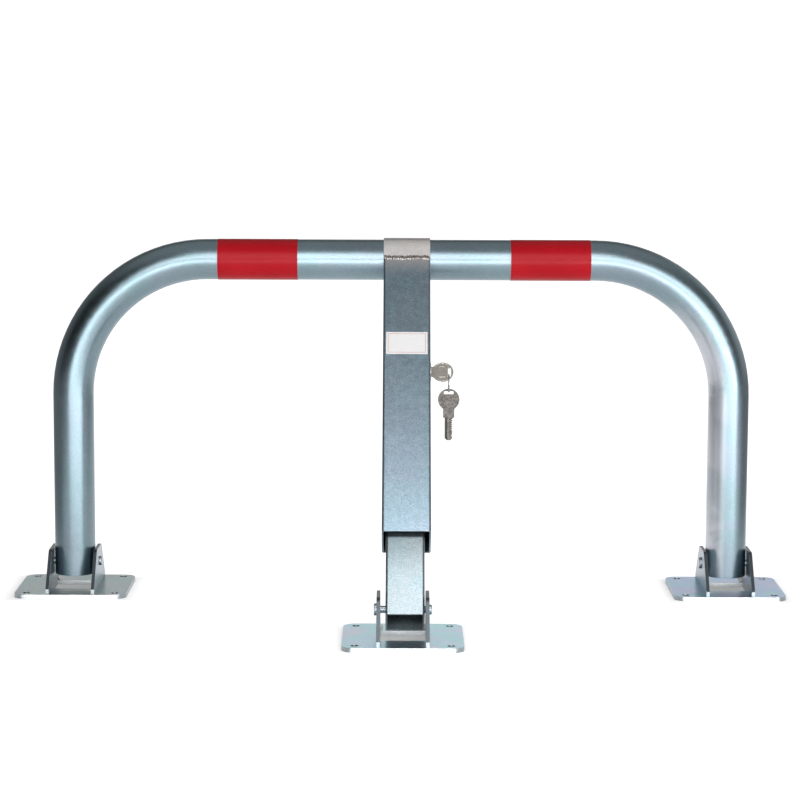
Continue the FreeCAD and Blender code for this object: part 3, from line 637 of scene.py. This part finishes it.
def key_mesh(name, frame_matrix, seed):
    """A cylinder key: rimmed round head, collar, and a milled blade with a deep groove and a ridge."""
    mesh = bmesh.new()
    mesh.verts.layers.float.new("shade")
    slot = rounded_box((SLOT_X[0], -HALF_SLOT), (SLOT_X[1], HALF_SLOT), 0.0011)
    rim_low = (SLOT_X[0] - 0.0009, -HALF_SLOT - 0.0008)
    rim_high = (SLOT_X[1] + 0.0009, HALF_SLOT + 0.0008)
    slot_rim = rounded_box(rim_low, rim_high, 0.0018)
    circle = arc(HEAD_CENTRE, 0, HEAD_RADIUS, 0, 355, 71)
    inner = arc(HEAD_CENTRE, 0, HEAD_RADIUS - 0.0013, 0, 355, 71)
    panel = rounded_box((HEAD_CENTRE - 0.0056, -0.0074), (HEAD_CENTRE + 0.0034, 0.0074), 0.0030)
    panel_inner = rounded_box((HEAD_CENTRE - 0.0049, -0.0067), (HEAD_CENTRE + 0.0027, 0.0067), 0.0024)
    collar = rounded_box((NECK_END, -HALF_NECK), (-0.0012, HALF_NECK), 0.0007)
    blade = bitting_outline(seed)
    ridge = rounded_box((TIP + 0.0006, -0.0017), (NECK_END + 0.0006, 0.0003), 0.0003)
    back = rounded_box((TIP + 0.0034, -HALF_BLADE), (NECK_END + 0.0006, -0.0037), 0.0003)
    # the last value of each plate is its grey level of painted shade, darkest in the blade's groove, with a
    # painted highlight on the ridge
    plates = (
        ([head_outline(), slot], HALF_KEY - 0.00025, 0.0002, 0.88),
        ([circle, inner], HALF_KEY, 0.0002, 1.0),
        ([slot_rim, slot], HALF_KEY, 0.00012, 1.0),
        ([panel, panel_inner], HALF_KEY - 0.0001, 0.0001, 1.05),
        ([collar], HALF_KEY, 0.00025, 0.95),
        ([blade], 0.00075, 0.0001, 0.35),
        ([[(x, max(y, 0.0002)) for x, y in blade]], 0.00092, 0.0001, 0.8),
        ([ridge], HALF_KEY, 0.00025, 1.15),
        ([back], 0.00092, 0.0001, 0.55),
    )
    for outlines, half_thickness, bevel, shade in plates:
        flat_plate(mesh, outlines, half_thickness, bevel, frame_matrix, shade)
    data = bpy.data.meshes.new(name)
    mesh.to_mesh(data)
    mesh.free()
    return data


def key_frame(origin, along, bitting):
    """World matrix of a key's flat frame, from its shoulder and which way its head and its bitting point."""
    through = along.cross(bitting)
    return Matrix.Translation(origin) @ Matrix((along, bitting, through)).transposed().to_4x4()


# ---- the object ---------------------------------------------------------------------------------

make_camera()
make_floor()
make_world()
for softbox in SOFTBOXES:
    make_softbox(*softbox)

# the tube carries a painted reflection on the right leg's left flank
tube_zinc = zinc("tube_zinc", (0.195, 0.258, 0.292), (0.215, 0.255, 0.30), (0.18, 0.26, 0.28),
                 roughness=0.31, grain=0.09, blotch=0.5, edge=0.0, depth=0.00001,
                 left_flank_reflection=((0.52, 0.53, 0.57), (0.30, 0.38)))
# each foot's plate has its own copy of the zinc: its teal and lavender tints, made lighter or darker foot by foot
# as painted light and shade
PLATE_TINTS_AND_PAINTED_LIGHT = {
    "left": ((0.21, 0.285, 0.285), (0.27, 0.285, 0.32), (0.195, 0.31, 0.285)),
    "right": ((0.26, 0.41, 0.58), (0.34, 0.40, 0.58), (0.23, 0.45, 0.54)),
    "centre": ((0.43, 0.64, 0.76), (0.54, 0.62, 0.72), (0.40, 0.69, 0.72)),
}
plate_zinc = {
    foot: zinc("plate_zinc_" + foot, *tints, roughness=0.30, grain=0.08, blotch=1.0, edge=0.8,
               cut=((0, 0, 1), (0.30, 0.34, 0.36), (0.74, 0.77, 0.78)))
    for foot, tints in PLATE_TINTS_AND_PAINTED_LIGHT.items()
}
ear_zinc = zinc("ear_zinc", (0.33, 0.41, 0.45), (0.40, 0.39, 0.45), (0.27, 0.42, 0.45),
                roughness=0.38, grain=0.12, blotch=0.8, edge=0.7,
                cut=((1, 0, 0), (0.075, 0.09, 0.10), (0.42, 0.46, 0.48)))
rivet_zinc = zinc("rivet_zinc", (0.30, 0.33, 0.35), (0.34, 0.34, 0.35), (0.26, 0.31, 0.34), roughness=0.3)
sleeve_zinc = zinc("sleeve_zinc", (0.212, 0.275, 0.325), (0.225, 0.275, 0.33), (0.195, 0.28, 0.32),
                   roughness=0.33, grain=0.24, blotch=0.5, edge=0.5,
                   heat=((0.50, 0.485, 0.485), 0.018, 0.05, 0.95))
# the strap's pale colour is partly its own zinc and partly a painted highlight, with painted shade over its top
strap_zinc = zinc("strap_zinc", (0.93, 0.90, 0.88), (0.97, 0.91, 0.87), (0.89, 0.90, 0.90), roughness=0.34,
                  grain=0.10, blotch=0.8, edge=0.4, painted_shade=(-0.03, 0.005, 0.65))
# the post carries painted shade just under the sleeve's mouth
post_zinc = zinc("post_zinc", (0.25, 0.30, 0.32), (0.27, 0.30, 0.32), (0.225, 0.305, 0.335), roughness=0.36,
                 grain=0.26, blotch=0.4, edge=0.5, painted_shade=(0.375, 0.445, 0.58))
bead_metal = weld_metal("bead_metal")
film = red_film("red_film")
LABEL_LOW, LABEL_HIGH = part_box("label")
LABEL_HALF_LENGTH = 0.015
blank_label = label_film("blank_label", (LABEL_LOW + LABEL_HIGH) / 2, (LABEL_HIGH.x - LABEL_LOW.x) / 2,
                         LABEL_HALF_LENGTH)
lock_nickel = plated("lock_nickel", (0.55, 0.53, 0.50), (0.40, 0.38, 0.35), 0.26)
lock_steel = plated("lock_steel", (0.45, 0.47, 0.48), (0.33, 0.34, 0.35), 0.32)
key_nickel = plated("key_nickel", (0.42, 0.385, 0.35), (0.34, 0.31, 0.28), 0.34, wear=0.6, shaded=True)
# the spare key is the same nickel painted far darker: painted shade
shaded_spare_key_nickel = plated("shaded_spare_key_nickel", (0.115, 0.105, 0.098), (0.085, 0.077, 0.072), 0.4, wear=0.15,
                         shaded=True)
ring_steel = plated("ring_steel", (0.50, 0.50, 0.50), (0.34, 0.34, 0.34), 0.24)

BY_SLOT = {
    "tube_zinc": tube_zinc, "ear_zinc": ear_zinc, "rivet_zinc": rivet_zinc,
    "weld_metal": bead_metal, "red_film": film, "sleeve_zinc": sleeve_zinc, "strap_zinc": strap_zinc,
    "post_zinc": post_zinc, "label_film": blank_label, "lock_nickel": lock_nickel, "lock_steel": lock_steel,
    "key_nickel": key_nickel, "ring_steel": ring_steel,
}
for entry in frame["record"]["subparts"]:
    if entry["material_slot"] == "plate_zinc":
        dress(entry["node"], plate_zinc[entry["node"].split("_")[0]])
    else:
        dress(entry["node"], BY_SLOT[entry["material_slot"]])

for side, front, seed in (("front", 1, 3), ("rear", -1, 8)):
    bead = add_piece("weld_bead_" + side, weld_bead_mesh("weld_bead_" + side, front, seed), bead_metal,
                     "strut")
    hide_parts("strap_weld_" + side)

# the inserted key's shoulder stands just off the lock's face
# and the spare key's shoulder hangs below the ring's low point
SHOULDER_GAP = 0.0008
SHOULDER_DROP = 0.02235
KEY_SEED = 5
inserted_frame = key_frame(LOCK_FACE + Vector((SHOULDER_GAP, 0, 0)), Vector((1, 0, 0)), -STRUT_DOWN)
spare_frame = key_frame(RING_LOW - Vector((0, 0, SHOULDER_DROP)), Vector((0, 0, 1)), Vector((1, 0, 0)))
inserted_mesh = key_mesh("detailed_inserted_key", inserted_frame, KEY_SEED)
inserted = add_piece("detailed_inserted_key", inserted_mesh, key_nickel, "lock_core",
                     smooth=False)
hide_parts("inserted_key")
spare_mesh = key_mesh("detailed_spare_key", spare_frame, KEY_SEED)
spare = add_piece("detailed_spare_key", spare_mesh, shaded_spare_key_nickel, "spare", smooth=False)
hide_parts("spare_key")

bpy.context.scene.view_settings.view_transform = "Standard"
